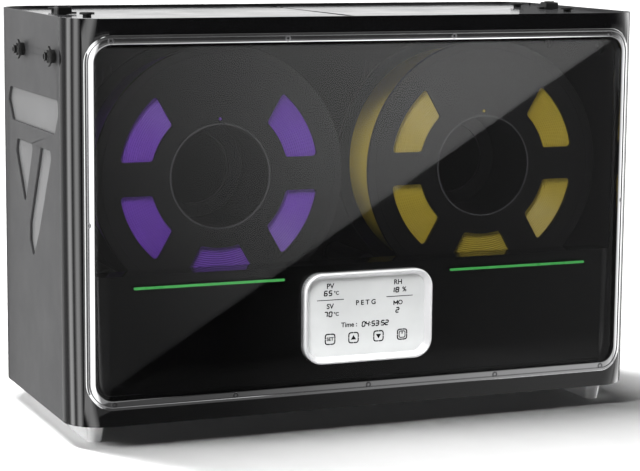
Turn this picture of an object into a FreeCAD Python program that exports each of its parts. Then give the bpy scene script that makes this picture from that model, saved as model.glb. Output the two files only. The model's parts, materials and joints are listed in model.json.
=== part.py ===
import FreeCAD, Part
import math
import os

# Filament dryer box for four spools in two rows, in millimetres.
# X runs across the front to the right, Y from the front to the back, Z up.
# The origin is on the surface the skid rails stand on, under the middle of the box.

V = FreeCAD.Vector
X_AXIS = V(1, 0, 0)
Y_AXIS = V(0, 1, 0)
Z_AXIS = V(0, 0, 1)

# Outer case
CASE_W = 470.0
CASE_D = 218.0
CASE_H = 300.0
CORNER_R = 29.0
WALL = 3.0
RAIL_H = 16.0
FRONT = -CASE_D / 2
REAR = CASE_D / 2
BOTTOM = RAIL_H
TOP = BOTTOM + CASE_H
SEAM_IN = CORNER_R + 0.5

# Side panels and their recesses, as (distance from the front, height above the case bottom)
SIDE_T = 2.0
PLATE_T = 2.0
GRIP_OUTLINE = [(36, 239), (174, 239), (180, 229), (167, 213), (45, 213), (34, 229)]
WEDGE_OUTLINE = [(106, 199.5), (154, 199.5), (158, 190), (132, 150)]
SLASH_OUTLINE = [(57, 199.5), (84, 199.5), (118, 138), (119, 124), (109, 112), (91, 134), (55, 194)]
RECESS_FILLET = 3.5

# Window, its rim and the rim screws
RIM_HALF_W = 224.0
RIM_LOW = BOTTOM + 12.5
RIM_HIGH = BOTTOM + 288.0
RIM_R = 20.0
RIM_WIDTH = 7.0
RIM_CREST = 3.0
RIM_PROUD = 1.5
RIM_STEP = 0.5
PANEL_SET = 2.0
PANEL_BACK = 6.0
LEDGE_BACK = 9.0
LEDGE_OUT = 3.5
LEDGE_IN = 2.0
RIM_SCREW_TOP_X = [-205.0, -68.4, 68.4, 205.0]
RIM_SCREW_LOW_X = [-204.0, -109.0, 0.0, 109.0, 204.0]
RIM_SCREW_SIDE_X = 221.5
RIM_SCREW_MID = 4.0
RIM_SCREW_HEAD_R = 2.4
RIM_SCREW_SHANK_R = 1.3

# Control panel
BEZEL_W = 107.0
BEZEL_H = 70.5
BEZEL_R = 15.0
BEZEL_Z = BOTTOM + 70.0
BEZEL_PROUD = 1.2
BEZEL_BACK = 8.0
GLASS_W = 97.0
GLASS_H = 61.0
GLASS_R = 10.0
GLASS_SET = 4.2
GLASS_T = 2.0

# Green bars
BAR_FROM = 69.0
BAR_TO = 188.0
BAR_H = 2.0
BAR_T = 0.4
BAR_Z = BOTTOM + 102.1

# Top: frame, gasket, lids, hinge and centre beam
LID_TOP = BOTTOM + 298.0
LID_T = 3.0
LID_UNDER = LID_TOP - LID_T
LID_GAP = 0.4
LID_REAR = FRONT + 207.0
LID_SEAM = 1.2
FRAME_TOP = BOTTOM + 291.5
FRAME_LOW = BOTTOM + 288.0
BAY_HALF_W = 216.5
BAY_FRONT = FRONT + 12.0
BAY_REAR = FRONT + 198.0
GASKET_HALF_W = 226.0
GASKET_W = 5.0
GASKET_SPLIT = 5.0
BODY_GAP = 0.3
BEAM_HALF_W = 8.0
BEAM_H = 8.0
HINGE_X = 4.0
HINGE_Z = LID_UNDER
HINGE_PIN_R = 1.0
KNUCKLE_R = 2.3
KNUCKLE_L = 8.0
LUG_R = 2.4
LUG_L = 6.0
LUG_FRONT = FRONT + 13.0
LUG_REAR = FRONT + 191.5
RUNNING_FIT = 0.05

# Outlet plugs and latches in the lids
PLUG_X = 203.0
PLUG_Y = [FRONT + 67.0, FRONT + 155.0]
PLUG_HEAD_R = 5.6
PLUG_NECK_R = 3.2
PLUG_HOLE_R = 3.5
PLUG_HEAD_T = 1.6
PLUG_STAND = 1.9
PLUG_DEPTH = 8.0
LATCH_X = 209.5
LATCH_Y = FRONT + 110.0
LATCH_SIZE = 11.5
LATCH_H = 5.6
LATCH_SHAFT_R = 3.0
CAM_LEN = 11.0
CAM_LOW = BOTTOM + 283.5
CAM_HIGH = BOTTOM + 286.5

# Push-in tube fittings
FITTING_Y = [FRONT + 43.0, FRONT + 132.0]
FITTING_Z = BOTTOM + 270.8
FITTING_BODY_R = 5.0
FITTING_RING_R = 4.7
FITTING_HEX_AF = 13.2
FITTING_TAIL_R = 4.0
TUBE_R = 2.1
COLLET_R = 2.9
COLLET_HEAD_R = 3.6

# Chamber
LINER_X = 222.0
LINER_T = 2.0
LINER_FRONT = FRONT + 22.0
LINER_REAR = FRONT + 203.0
FLOOR_TOP = BOTTOM + 70.0
FLOOR_T = 2.0
DASH_TOP = BOTTOM + 111.0
DASH_REAR = FRONT + 28.0
DASH_T = 2.0

# Spools and filament
SPOOL_X = 110.5
SPOOL_Z = BOTTOM + 179.0
SPOOL_R = 100.0
SPOOL_W = 63.0
SPOOL_FRONT = FRONT + 30.0
FLANGE_T = 3.0
HUB_R = 52.0
BORE_R = 39.0
REAR_BORE_R = 28.0
WINDOW_IN_R = 54.5
WINDOW_OUT_R = 80.0
SPOKE_HALF_W = 12.7
WINDOW_ANGLES = [30, 150, 210, 270, 330]
FILAMENT_R = 90.0

# Rollers
ROLLER_R = 8.0
ROLLER_GAP = 0.3
ROLLER_ANGLE = 36.0
ROLLER_REACH = SPOOL_R + ROLLER_R + ROLLER_GAP
ROLLER_DX = ROLLER_REACH * math.sin(math.radians(ROLLER_ANGLE))
ROLLER_Z = SPOOL_Z - ROLLER_REACH * math.cos(math.radians(ROLLER_ANGLE))
ROLLER_ROWS = {"front": (FRONT + 29.0, FRONT + 95.0), "rear": (FRONT + 113.0, FRONT + 180.0)}
AXLE_R = 3.0
AXLE_FROM = FRONT + 24.0
AXLE_TO = FRONT + 191.0
BEARING_R = 6.0
BEARING_W = 5.0
BRACKET_Y = [FRONT + 101.0, FRONT + 186.0]
BRACKET_HALF_W = 7.0
BRACKET_T = 4.0

# Heating and electronics
FAN_SIZE = 80.0
FAN_H = 20.0
FAN_LOW = BOTTOM + 26.0
FAN_BORE_R = 37.5
FAN_HUB_R = 15.0
FAN_BLADES = 7
BLADE_R = 36.0
FAN_Y = 8.0
HEATER_LOW = BOTTOM + 50.0
HEATER_H = 14.0
HEATER_FINS = 12
HEATER_FIN_PITCH = 6.2

# Mains inlet in the rear cover
INLET_X = 150.0
INLET_Z = BOTTOM + 32.0
INLET_W = 48.0
INLET_H = 27.0
INLET_PROUD = 1.5
INLET_CUT_W = 27.5
INLET_CUT_H = 20.0

# Skid rails
RAIL_X = 211.5
RAIL_FROM = FRONT + 18.0
RAIL_TO = FRONT + 200.0
RAIL_TOP_W = 15.0
RAIL_LOW_W = 11.0
RAIL_END_TAPER = 4.0
RAIL_SCREW_IN = 20.0

# Slotted vents: slot width, slot pitch, and where the rows sit
SLOT_W = 3.0
SLOT_PITCH = 7.0
REAR_VENT_X = 120.0
REAR_VENT_Z = BOTTOM + 190.0
REAR_VENT_H = 34.0
REAR_VENT_SLOTS = 12
LOW_VENT_X = -150.0
LOW_VENT_Z = BOTTOM + 32.0
LOW_VENT_H = 30.0
LOW_VENT_SLOTS = 10
LINER_VENT_Z = (BOTTOM + 220.0, BOTTOM + 252.0)
BASE_T = 3.0
BASE_SLOTS = 9
BASE_SLOT_PITCH = 8.0
BASE_SLOT_HALF_L = 30.0
FLOOR_SLOTS = 13
FLOOR_SLOT_PITCH = 6.0
FLOOR_SLOT_HALF_L = 28.0

# Rear cover screws
COVER_SCREW_X = (-190.0, 0.0, 190.0)
COVER_SCREW_Z = (BOTTOM + 10.0, BOTTOM + 282.0)


def box(x0, x1, y0, y1, z0, z1):
    return Part.makeBox(x1 - x0, y1 - y0, z1 - z0, V(x0, y0, z0))


def cyl(radius, start, axis, length):
    return Part.makeCylinder(radius, length, start, axis)


def tube(outer, inner, start, axis, length):
    return cyl(outer, start, axis, length).cut(cyl(inner, start, axis, length))


def rounded_wire(width, height, radius, z=0.0):
    """A rounded rectangle in the XY plane, centred on the origin."""
    a = width / 2
    b = height / 2
    i = a - radius
    j = b - radius
    k = radius * math.sqrt(0.5)
    edges = [
        Part.LineSegment(V(-i, -b, z), V(i, -b, z)),
        Part.Arc(V(i, -b, z), V(i + k, -j - k, z), V(a, -j, z)),
        Part.LineSegment(V(a, -j, z), V(a, j, z)),
        Part.Arc(V(a, j, z), V(i + k, j + k, z), V(i, b, z)),
        Part.LineSegment(V(i, b, z), V(-i, b, z)),
        Part.Arc(V(-i, b, z), V(-i - k, j + k, z), V(-a, j, z)),
        Part.LineSegment(V(-a, j, z), V(-a, -j, z)),
        Part.Arc(V(-a, -j, z), V(-i - k, -j - k, z), V(-i, -b, z)),
    ]
    return Part.Wire([e.toShape() for e in edges])


def plan_prism(inset, z0, z1):
    """The case outline moved in by inset, between two heights."""
    wire = rounded_wire(CASE_W - 2 * inset, CASE_D - 2 * inset, CORNER_R - inset)
    solid = Part.Face(wire).extrude(V(0, 0, z1 - z0))
    solid.translate(V(0, 0, z0))
    return solid


def case_shell(inset_out, inset_in, z0, z1):
    return plan_prism(inset_out, z0, z1).cut(plan_prism(inset_in, z0, z1))


def front_prism(width, height, radius, z_mid, y0, y1, x_mid=0.0):
    """A rounded rectangle seen from the front, running from y0 to y1."""
    solid = Part.Face(rounded_wire(width, height, radius)).extrude(V(0, 0, y1 - y0))
    solid.rotate(V(0, 0, 0), X_AXIS, 90)
    solid.translate(V(x_mid, y1, z_mid))
    return solid


def window_prism(grow):
    """The window outline grown by grow, from in front of the case to the end of its corners."""
    width = 2 * (RIM_HALF_W + grow)
    height = RIM_HIGH - RIM_LOW + 2 * grow
    middle = (RIM_HIGH + RIM_LOW) / 2
    return front_prism(width, height, RIM_R + grow, middle, FRONT - 5, FRONT + CORNER_R)


def window_layer(inset_out, inset_in, grow_out, grow_in):
    """A frame that follows the curved front, between two window outlines and two insets."""
    skin = case_shell(inset_out, inset_in, RIM_LOW - 10, RIM_HIGH + 10)
    return skin.common(window_prism(grow_out)).cut(window_prism(grow_in))


def outline_prism(points, x0, x1, fillet):
    """A recess outline given from the front and from the case bottom, extruded along X."""
    corners = [V(x0, FRONT + y, BOTTOM + z) for y, z in points]
    face = Part.Face(Part.makePolygon(corners + corners[:1]))
    solid = face.extrude(V(x1 - x0, 0, 0))
    across = [e for e in solid.Edges if abs(e.tangentAt(e.FirstParameter).x) > 0.99]
    return solid.makeFillet(fillet, across)


def mirrored(shape):
    return shape.mirror(V(0, 0, 0), X_AXIS)


def group(shapes):
    return Part.makeCompound(shapes)


def screw(head_r, head_t, shank_r, shank_l, seat, direction):
    """A pan-head screw whose head stands on seat and whose shank runs along direction."""
    head = cyl(head_r, seat - direction * head_t, direction, head_t)
    rim = [e for e in head.Edges if abs((e.CenterOfMass - seat).dot(direction) + head_t) < 0.01]
    head = head.makeFillet(head_t * 0.45, rim)
    socket = cyl(head_r * 0.42, seat - direction * head_t, direction, head_t * 0.5)
    return head.cut(socket).fuse(cyl(shank_r, seat, direction, shank_l))


def rim_screw_list():
    z_top = RIM_HIGH - RIM_SCREW_MID
    z_low = RIM_LOW + RIM_SCREW_MID
    seat_y = FRONT + RIM_STEP
    length = LEDGE_BACK - RIM_STEP
    spots = [(x, z_top) for x in RIM_SCREW_TOP_X] + [(x, z_low) for x in RIM_SCREW_LOW_X]
    screws = [
        screw(RIM_SCREW_HEAD_R, 1.2, RIM_SCREW_SHANK_R, length, V(x, seat_y, z), Y_AXIS)
        for x, z in spots
    ]
    centre_x = CASE_W / 2 - CORNER_R
    reach = RIM_SCREW_SIDE_X - centre_x
    turn = math.asin(reach / CORNER_R)
    z_mid = (RIM_HIGH + RIM_LOW) / 2
    for side in (-1, 1):
        inward = V(-side * math.sin(turn), math.cos(turn), 0)
        corner = V(side * centre_x, FRONT + CORNER_R, z_mid)
        seat = corner - inward * (CORNER_R - RIM_STEP)
        screws.append(screw(RIM_SCREW_HEAD_R, 1.2, RIM_SCREW_SHANK_R, length, seat, inward))
    return screws


def rim_screws():
    return group(rim_screw_list())


def front_fascia():
    skin = case_shell(0, WALL, BOTTOM, TOP)
    skin = skin.common(box(-CASE_W, CASE_W, FRONT - 1, FRONT + SEAM_IN, BOTTOM, TOP))
    skin = skin.cut(window_prism(0))
    wall = window_layer(WALL - 0.5, LEDGE_BACK, LEDGE_OUT, 0)
    ledge = window_layer(PANEL_BACK, LEDGE_BACK, 0, -RIM_WIDTH - LEDGE_IN)
    return skin.fuse([wall, ledge]).removeSplitter().cut(rim_screw_list())


def window_rim():
    crest = window_layer(-RIM_PROUD, PANEL_BACK, 0, -RIM_CREST)
    step = window_layer(RIM_STEP, PANEL_BACK, 0, -RIM_WIDTH)
    return crest.fuse(step).removeSplitter().cut(rim_screw_list())


def window_panel():
    skin = case_shell(PANEL_SET, PANEL_BACK, RIM_LOW - 10, RIM_HIGH + 10)
    panel = skin.common(window_prism(-RIM_WIDTH))
    return panel.cut(front_prism(BEZEL_W, BEZEL_H, BEZEL_R, BEZEL_Z, FRONT - 5, FRONT + CORNER_R))


def control_bezel():
    body = front_prism(BEZEL_W, BEZEL_H, BEZEL_R, BEZEL_Z, FRONT - BEZEL_PROUD, FRONT + BEZEL_BACK)
    lip = 0.8
    mouth = rounded_wire(BEZEL_W - 2 * lip, BEZEL_H - 2 * lip, BEZEL_R - lip, 0)
    seat = rounded_wire(GLASS_W, GLASS_H, GLASS_R, -(BEZEL_PROUD + GLASS_SET))
    funnel = Part.makeLoft([mouth, seat], True, True)
    funnel.rotate(V(0, 0, 0), X_AXIS, 90)
    funnel.translate(V(0, FRONT - BEZEL_PROUD, BEZEL_Z))
    pocket = front_prism(GLASS_W, GLASS_H, GLASS_R, BEZEL_Z, FRONT + GLASS_SET, FRONT + GLASS_SET + GLASS_T)
    port = front_prism(GLASS_W - 6, GLASS_H - 6, GLASS_R - 3, BEZEL_Z, FRONT, FRONT + BEZEL_BACK + 1)
    return body.cut(funnel).cut(pocket).cut(port)


def control_glass():
    front = FRONT + GLASS_SET
    return front_prism(GLASS_W, GLASS_H, GLASS_R, BEZEL_Z, front, front + GLASS_T)


def display_module():
    back_of_glass = FRONT + GLASS_SET + GLASS_T
    board = FRONT + BEZEL_BACK + 2
    lcd = box(-42, 42, back_of_glass, board, BEZEL_Z - 20, BEZEL_Z + 22)
    pcb = box(-52, 52, board, board + 1.6, BEZEL_Z - 32, BEZEL_Z + 32)
    posts = [
        cyl(2.5, V(x, FRONT + BEZEL_BACK, BEZEL_Z + z), Y_AXIS, 2)
        for x in (-49, 49)
        for z in (-28, 28)
    ]
    chip = box(-8, 8, board + 1.6, board + 3, BEZEL_Z - 6, BEZEL_Z + 6)
    return lcd.fuse([pcb, chip] + posts)


def light_bars():
    bar = front_prism(
        BAR_TO - BAR_FROM, BAR_H, BAR_H / 2 - 0.05, BAR_Z,
        FRONT + PANEL_SET - BAR_T, FRONT + PANEL_SET, (BAR_FROM + BAR_TO) / 2,
    )
    return group([bar, mirrored(bar)])


def side_panel_right():
    x0 = CASE_W / 2 - SIDE_T
    x1 = CASE_W / 2
    panel = box(x0, x1, FRONT + SEAM_IN, REAR - SEAM_IN, BOTTOM, TOP)
    for outline in (GRIP_OUTLINE, WEDGE_OUTLINE, SLASH_OUTLINE):
        panel = panel.cut(outline_prism(outline, x0 - 1, x1 + 1, RECESS_FILLET))
    for y in FITTING_Y:
        panel = panel.cut(cyl(FITTING_TAIL_R, V(x0 - 1, y, FITTING_Z), X_AXIS, SIDE_T + 2))
    return panel


def recess_plate_right():
    x1 = CASE_W / 2 - SIDE_T
    return box(x1 - PLATE_T, x1, FRONT + 31, REAR - 34, BOTTOM + 106, BOTTOM + 246)


def rear_cover():
    skin = case_shell(0, WALL, BOTTOM, TOP)
    skin = skin.common(box(-CASE_W, CASE_W, REAR - SEAM_IN, REAR + 1, BOTTOM, TOP))
    slots = []
    left = row_spots(-REAR_VENT_X, REAR_VENT_SLOTS, SLOT_PITCH)
    right = row_spots(REAR_VENT_X, REAR_VENT_SLOTS, SLOT_PITCH)
    for x in left + right:
        slots.append(front_prism(SLOT_W, REAR_VENT_H, SLOT_W / 2 - 0.1, REAR_VENT_Z, REAR - 10, REAR + 1, x))
    for x in row_spots(LOW_VENT_X, LOW_VENT_SLOTS, SLOT_PITCH):
        slots.append(front_prism(SLOT_W, LOW_VENT_H, SLOT_W / 2 - 0.1, LOW_VENT_Z, REAR - 10, REAR + 1, x))
    skin = skin.cut(group(slots))
    skin = skin.cut(front_prism(INLET_CUT_W, INLET_CUT_H, 2.5, INLET_Z, REAR - 10, REAR + 1, INLET_X))
    for x, z in rear_screw_spots():
        skin = skin.cut(cyl(1.5, V(x, REAR - 10, z), Y_AXIS, 12))
    for dx in (-20, 20):
        skin = skin.cut(cyl(1.5, V(INLET_X + dx, REAR - 10, INLET_Z), Y_AXIS, 12))
    return skin


def row_spots(middle, count, pitch):
    """Centres of count items in a row, pitch apart, about middle."""
    return [middle + (i - (count - 1) / 2) * pitch for i in range(count)]


def rear_screw_spots():
    return [(x, z) for x in COVER_SCREW_X for z in COVER_SCREW_Z]


def base_plate():
    plate = plan_prism(WALL, BOTTOM, BOTTOM + BASE_T)
    reach = BASE_SLOT_HALF_L
    half = SLOT_W / 2
    for x in (-SPOOL_X, SPOOL_X):
        for y in row_spots(FAN_Y, BASE_SLOTS, BASE_SLOT_PITCH):
            plate = plate.cut(box(x - reach, x + reach, y - half, y + half, BOTTOM - 1, BOTTOM + BASE_T + 1))
    return plate.cut(group(rail_screw_list()))


def rail_screw_list():
    along = (RAIL_FROM + RAIL_SCREW_IN, 0, RAIL_TO - RAIL_SCREW_IN)
    seats = [V(side * RAIL_X, y, BOTTOM + BASE_T) for side in (-1, 1) for y in along]
    return [screw(3.2, 1.8, 1.6, 11, seat, V(0, 0, -1)) for seat in seats]


def skid_rails():
    length = RAIL_TO - RAIL_FROM
    low = rounded_wire(RAIL_LOW_W, length - 2 * RAIL_END_TAPER, RAIL_LOW_W / 2 - 0.1, 0)
    high = rounded_wire(RAIL_TOP_W, length, RAIL_TOP_W / 2 - 0.1, RAIL_H)
    rail = Part.makeLoft([low, high], True, True)
    rail.translate(V(RAIL_X, (RAIL_FROM + RAIL_TO) / 2, 0))
    holes = group(rail_screw_list())
    return group([rail.cut(holes), mirrored(rail).cut(holes)])


def case_screws():
    screws = rail_screw_list()
    for x, z in rear_screw_spots():
        screws.append(screw(3.0, 1.5, 1.5, 8, V(x, REAR, z), V(0, -1, 0)))
    return group(screws)


def top_frame():
    ring = plan_prism(WALL, FRAME_LOW, FRAME_TOP)
    ring = ring.cut(box(-BAY_HALF_W, BAY_HALF_W, BAY_FRONT, BAY_REAR, FRAME_LOW - 1, FRAME_TOP + 1))
    strip = plan_prism(WALL, FRAME_TOP, LID_TOP)
    strip = strip.common(box(-CASE_W, CASE_W, LID_REAR + 0.8, REAR, FRAME_TOP, LID_TOP))
    return ring.fuse(strip).cut(front_fascia()).removeSplitter()


def hinge_pins():
    pins = []
    for side in (-1, 1):
        for start in (LUG_FRONT + 0.5, LUG_REAR - BODY_GAP - KNUCKLE_L):
            spot = V(side * HINGE_X, start, HINGE_Z)
            pins.append(cyl(HINGE_PIN_R, spot, Y_AXIS, LUG_L + KNUCKLE_L - 0.2))
    return group(pins)


def centre_beam():
    beam = box(-BEAM_HALF_W, BEAM_HALF_W, BAY_FRONT, BAY_REAR, FRAME_LOW - BEAM_H, FRAME_LOW)
    for y in (LUG_FRONT, LUG_REAR):
        half = HINGE_X + LUG_R
        lug = box(-half, half, y, y + LUG_L, FRAME_LOW, HINGE_Z)
        heads = [cyl(LUG_R, V(side * HINGE_X, y, HINGE_Z), Y_AXIS, LUG_L) for side in (-1, 1)]
        web = box(-HINGE_X, HINGE_X, y, y + LUG_L, HINGE_Z, HINGE_Z + LUG_R)
        beam = beam.fuse([lug, web] + heads)
    return beam.cut(hinge_pins()).removeSplitter()


def lid_gasket():
    front = FRONT + 5.2
    rear = LID_REAR - 2.0
    height = LID_UNDER - BODY_GAP - FRAME_TOP
    outer = Part.Face(rounded_wire(2 * GASKET_HALF_W, rear - front, 20))
    inner = Part.Face(rounded_wire(2 * (GASKET_HALF_W - GASKET_W), rear - front - 2 * GASKET_W, 15))
    ring = outer.extrude(V(0, 0, height)).cut(inner.extrude(V(0, 0, height)))
    ring.translate(V(0, (front + rear) / 2, FRAME_TOP))
    ring = ring.cut(box(-GASKET_SPLIT, GASKET_SPLIT, FRONT, REAR, FRAME_TOP, LID_UNDER))
    return ring


def lid_right():
    plate = plan_prism(WALL + LID_GAP, LID_UNDER, LID_TOP)
    plate = plate.common(box(LID_SEAM, CASE_W, FRONT, LID_REAR, LID_UNDER, LID_TOP))
    seam_edge = [
        e for e in plate.Edges
        if abs(e.CenterOfMass.x - LID_SEAM) < 0.01 and abs(e.CenterOfMass.z - LID_TOP) < 0.01
    ]
    plate = plate.makeFillet(LID_T * 0.75, seam_edge)
    rib_out = box(12, 211, FRONT + 14, FRONT + 196, LID_UNDER - 3, LID_UNDER)
    rib_in = box(14, 209, FRONT + 16, FRONT + 194, LID_UNDER - 4, LID_UNDER)
    cross = box(110, 112, FRONT + 15, FRONT + 195, LID_UNDER - 3, LID_UNDER)
    plate = plate.fuse([rib_out.cut(rib_in), cross])
    latch_room = cyl(5.5, V(LATCH_X, LATCH_Y, LID_UNDER - 5), Z_AXIS, 5)
    plate = plate.cut(latch_room)
    for y in (LUG_FRONT, LUG_REAR):
        room = box(0, HINGE_X + LUG_R + 0.7, y - LID_GAP, y + LUG_L + LID_GAP, LID_UNDER - 1, LID_TOP + 1)
        plate = plate.cut(room)
    for start in (LUG_FRONT + LUG_L + BODY_GAP, LUG_REAR - BODY_GAP - KNUCKLE_L):
        spot = V(HINGE_X, start, HINGE_Z)
        plate = plate.fuse(cyl(KNUCKLE_R, spot, Y_AXIS, KNUCKLE_L))
        plate = plate.cut(cyl(HINGE_PIN_R + RUNNING_FIT, spot - Y_AXIS, Y_AXIS, KNUCKLE_L + 2))
    for y in PLUG_Y:
        plate = plate.cut(cyl(PLUG_HOLE_R, V(PLUG_X, y, LID_UNDER - 5), Z_AXIS, 10))
    hole = cyl(LATCH_SHAFT_R + RUNNING_FIT, V(LATCH_X, LATCH_Y, LID_UNDER - 5), Z_AXIS, 10)
    return plate.cut(hole).removeSplitter()


def latch_right():
    """Turn latch: a block with a pointer above the lid, a shaft, and a cam under the lid."""
    half = LATCH_SIZE / 2
    low = LID_TOP + BODY_GAP
    block = box(-half, half, -half, half, low, low + LATCH_H)
    block = block.makeFillet(1.0, [e for e in block.Edges if e.CenterOfMass.z > low + 1])
    ridge = box(-half + 1.5, half - 1.5, -1, 1, low + LATCH_H - 1, low + LATCH_H + 0.8)
    pointer = box(-half - 4.5, 0, -1.8, 1.8, low, low + 1.5)
    shaft = cyl(LATCH_SHAFT_R, V(0, 0, CAM_LOW), Z_AXIS, low + 1 - CAM_LOW)
    cam = box(-CAM_LEN + 3, 0, -3, 3, CAM_LOW, CAM_HIGH)
    cam = cam.fuse([cyl(3, V(-CAM_LEN + 3, 0, CAM_LOW), Z_AXIS, CAM_HIGH - CAM_LOW)])
    collar = cyl(4.8, V(0, 0, LID_UNDER - BODY_GAP - 2), Z_AXIS, 2)
    latch = block.fuse([ridge, pointer, shaft, cam, collar]).removeSplitter()
    latch.translate(V(LATCH_X, LATCH_Y, 0))
    return latch


def outlet_plug(x, y):
    head_low = LID_TOP + PLUG_STAND
    neck = cyl(PLUG_NECK_R, V(x, y, head_low - PLUG_DEPTH), Z_AXIS, PLUG_DEPTH)
    head = cyl(PLUG_HEAD_R, V(x, y, head_low), Z_AXIS, PLUG_HEAD_T)
    head = head.makeFillet(0.5, [e for e in head.Edges if e.CenterOfMass.z > head_low + 1])
    return neck.fuse(head)


def fitting(y):
    """One push-in fitting on the right side, with the tube's way through it."""
    wall = CASE_W / 2
    body = cyl(FITTING_BODY_R, V(wall, y, FITTING_Z), X_AXIS, 3.2)
    hex_r = FITTING_HEX_AF / 2 / math.cos(math.radians(30))
    turns = [math.radians(60 * i) for i in range(6)]
    corners = [V(wall + 3.2, y + hex_r * math.sin(t), FITTING_Z + hex_r * math.cos(t)) for t in turns]
    flange = Part.Face(Part.makePolygon(corners + corners[:1])).extrude(V(1.6, 0, 0))
    ring = cyl(FITTING_RING_R, V(wall + 4.8, y, FITTING_Z), X_AXIS, 1.4)
    tail = cyl(FITTING_TAIL_R, V(LINER_X - 4, y, FITTING_Z), X_AXIS, wall - LINER_X + 4)
    nut = tube(6.5, FITTING_TAIL_R, V(LINER_X - 3, y, FITTING_Z), X_AXIS, 3)
    body = body.fuse([flange, ring, tail, nut])
    bore = cyl(TUBE_R, V(LINER_X - 5, y, FITTING_Z), X_AXIS, 40)
    seat = cyl(COLLET_R + RUNNING_FIT, V(wall - 1, y, FITTING_Z), X_AXIS, 12)
    return body.cut(bore).cut(seat)


def tube_fittings():
    right = [fitting(y) for y in FITTING_Y]
    return group(right + [mirrored(f) for f in right])


def fitting_collet(side, y):
    """The ring that is pressed in to let go of the tube."""
    wall = CASE_W / 2
    sleeve = cyl(COLLET_R, V(wall + 0.2, y, FITTING_Z), X_AXIS, 7.3)
    head = cyl(COLLET_HEAD_R, V(wall + 7.3, y, FITTING_Z), X_AXIS, 0.8)
    ring = sleeve.fuse(head).cut(cyl(TUBE_R, V(wall - 1, y, FITTING_Z), X_AXIS, 12))
    return ring if side > 0 else mirrored(ring)


def front_dash():
    low = RIM_LOW + RIM_WIDTH + LEDGE_IN
    face = case_shell(PANEL_BACK, PANEL_BACK + DASH_T, low, DASH_TOP)
    face = face.common(window_prism(-RIM_WIDTH - LEDGE_IN - 0.5))
    face = face.cut(front_prism(BEZEL_W + 1, BEZEL_H + 1, BEZEL_R, BEZEL_Z, FRONT, FRONT + CORNER_R))
    shelf = plan_prism(PANEL_BACK, DASH_TOP - DASH_T, DASH_TOP)
    shelf = shelf.common(box(-213, 213, FRONT, DASH_REAR, DASH_TOP - DASH_T, DASH_TOP))
    back = box(-213, 213, DASH_REAR - DASH_T, DASH_REAR, FLOOR_TOP, DASH_TOP)
    dash = face.fuse([shelf, back])
    for x in axle_positions():
        dash = dash.cut(cyl(AXLE_R, V(x, DASH_REAR - 10, ROLLER_Z), Y_AXIS, 12))
    return dash.removeSplitter()


def axle_positions():
    return [side * SPOOL_X + offset for side in (-1, 1) for offset in (-ROLLER_DX, ROLLER_DX)]


def chamber_floor():
    plate = box(-LINER_X, LINER_X, DASH_REAR - DASH_T, LINER_REAR, FLOOR_TOP - FLOOR_T, FLOOR_TOP)
    y0 = FAN_Y - FLOOR_SLOT_HALF_L
    y1 = FAN_Y + FLOOR_SLOT_HALF_L
    half = SLOT_W / 2
    for middle in (-SPOOL_X, SPOOL_X):
        for x in row_spots(middle, FLOOR_SLOTS, FLOOR_SLOT_PITCH):
            plate = plate.cut(box(x - half, x + half, y0, y1, FLOOR_TOP - FLOOR_T - 1, FLOOR_TOP + 1))
    for x in axle_positions():
        for y in BRACKET_Y:
            post = box(x - BRACKET_HALF_W, x + BRACKET_HALF_W, y, y + BRACKET_T, FLOOR_TOP, ROLLER_Z)
            post = post.fuse(cyl(6, V(x, y, ROLLER_Z), Y_AXIS, BRACKET_T))
            plate = plate.fuse(post.cut(cyl(AXLE_R, V(x, y - 1, ROLLER_Z), Y_AXIS, BRACKET_T + 2)))
    return plate.removeSplitter()


def liner_right():
    wall = box(LINER_X, LINER_X + LINER_T, LINER_FRONT, LINER_REAR + LINER_T, FLOOR_TOP - FLOOR_T, FRAME_LOW)
    for y in FITTING_Y:
        wall = wall.cut(cyl(FITTING_TAIL_R, V(LINER_X - 1, y, FITTING_Z), X_AXIS, 5))
    return wall


def liner_rear():
    y0 = LINER_REAR
    y1 = LINER_REAR + LINER_T
    wall = box(-LINER_X, LINER_X, y0, y1, FLOOR_TOP - FLOOR_T, FRAME_LOW)
    half = SLOT_W / 2
    for middle in (-REAR_VENT_X, REAR_VENT_X):
        for x in row_spots(middle, REAR_VENT_SLOTS, SLOT_PITCH):
            wall = wall.cut(box(x - half, x + half, y0 - 1, y1 + 1, *LINER_VENT_Z))
    return wall


def roller_axles():
    length = AXLE_TO - AXLE_FROM
    return group([cyl(AXLE_R, V(x, AXLE_FROM, ROLLER_Z), Y_AXIS, length) for x in axle_positions()])


def roller_bearings():
    rings = []
    for x in axle_positions():
        for start, end in ROLLER_ROWS.values():
            for y in (start + 1, end - 1 - BEARING_W):
                rings.append(tube(BEARING_R, AXLE_R, V(x, y, ROLLER_Z), Y_AXIS, BEARING_W))
    return group(rings)


def roller(x, row):
    start, end = ROLLER_ROWS[row]
    return tube(ROLLER_R, BEARING_R + RUNNING_FIT, V(x, start, ROLLER_Z), Y_AXIS, end - start)


def spool_window(angle):
    """One opening in a flange, between two spokes, as a prism along Y at the spool's centre."""
    apex_r = SPOKE_HALF_W / math.sin(math.radians(30))
    mid = math.radians(angle)
    apex = V(apex_r * math.cos(mid), 0, apex_r * math.sin(mid))
    arms = [math.radians(angle - 30), math.radians(angle + 30)]
    tips = [apex + V(math.cos(a), 0, math.sin(a)) * 120 for a in arms]
    wedge = Part.Face(Part.makePolygon([apex] + tips + [apex])).extrude(V(0, FLANGE_T, 0))
    ring = tube(WINDOW_OUT_R, WINDOW_IN_R, V(0, 0, 0), Y_AXIS, FLANGE_T)
    window = wedge.common(ring)
    corners = [e for e in window.Edges if abs(e.Length - FLANGE_T) < 0.01]
    return window.makeFillet(3.0, corners)


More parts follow.
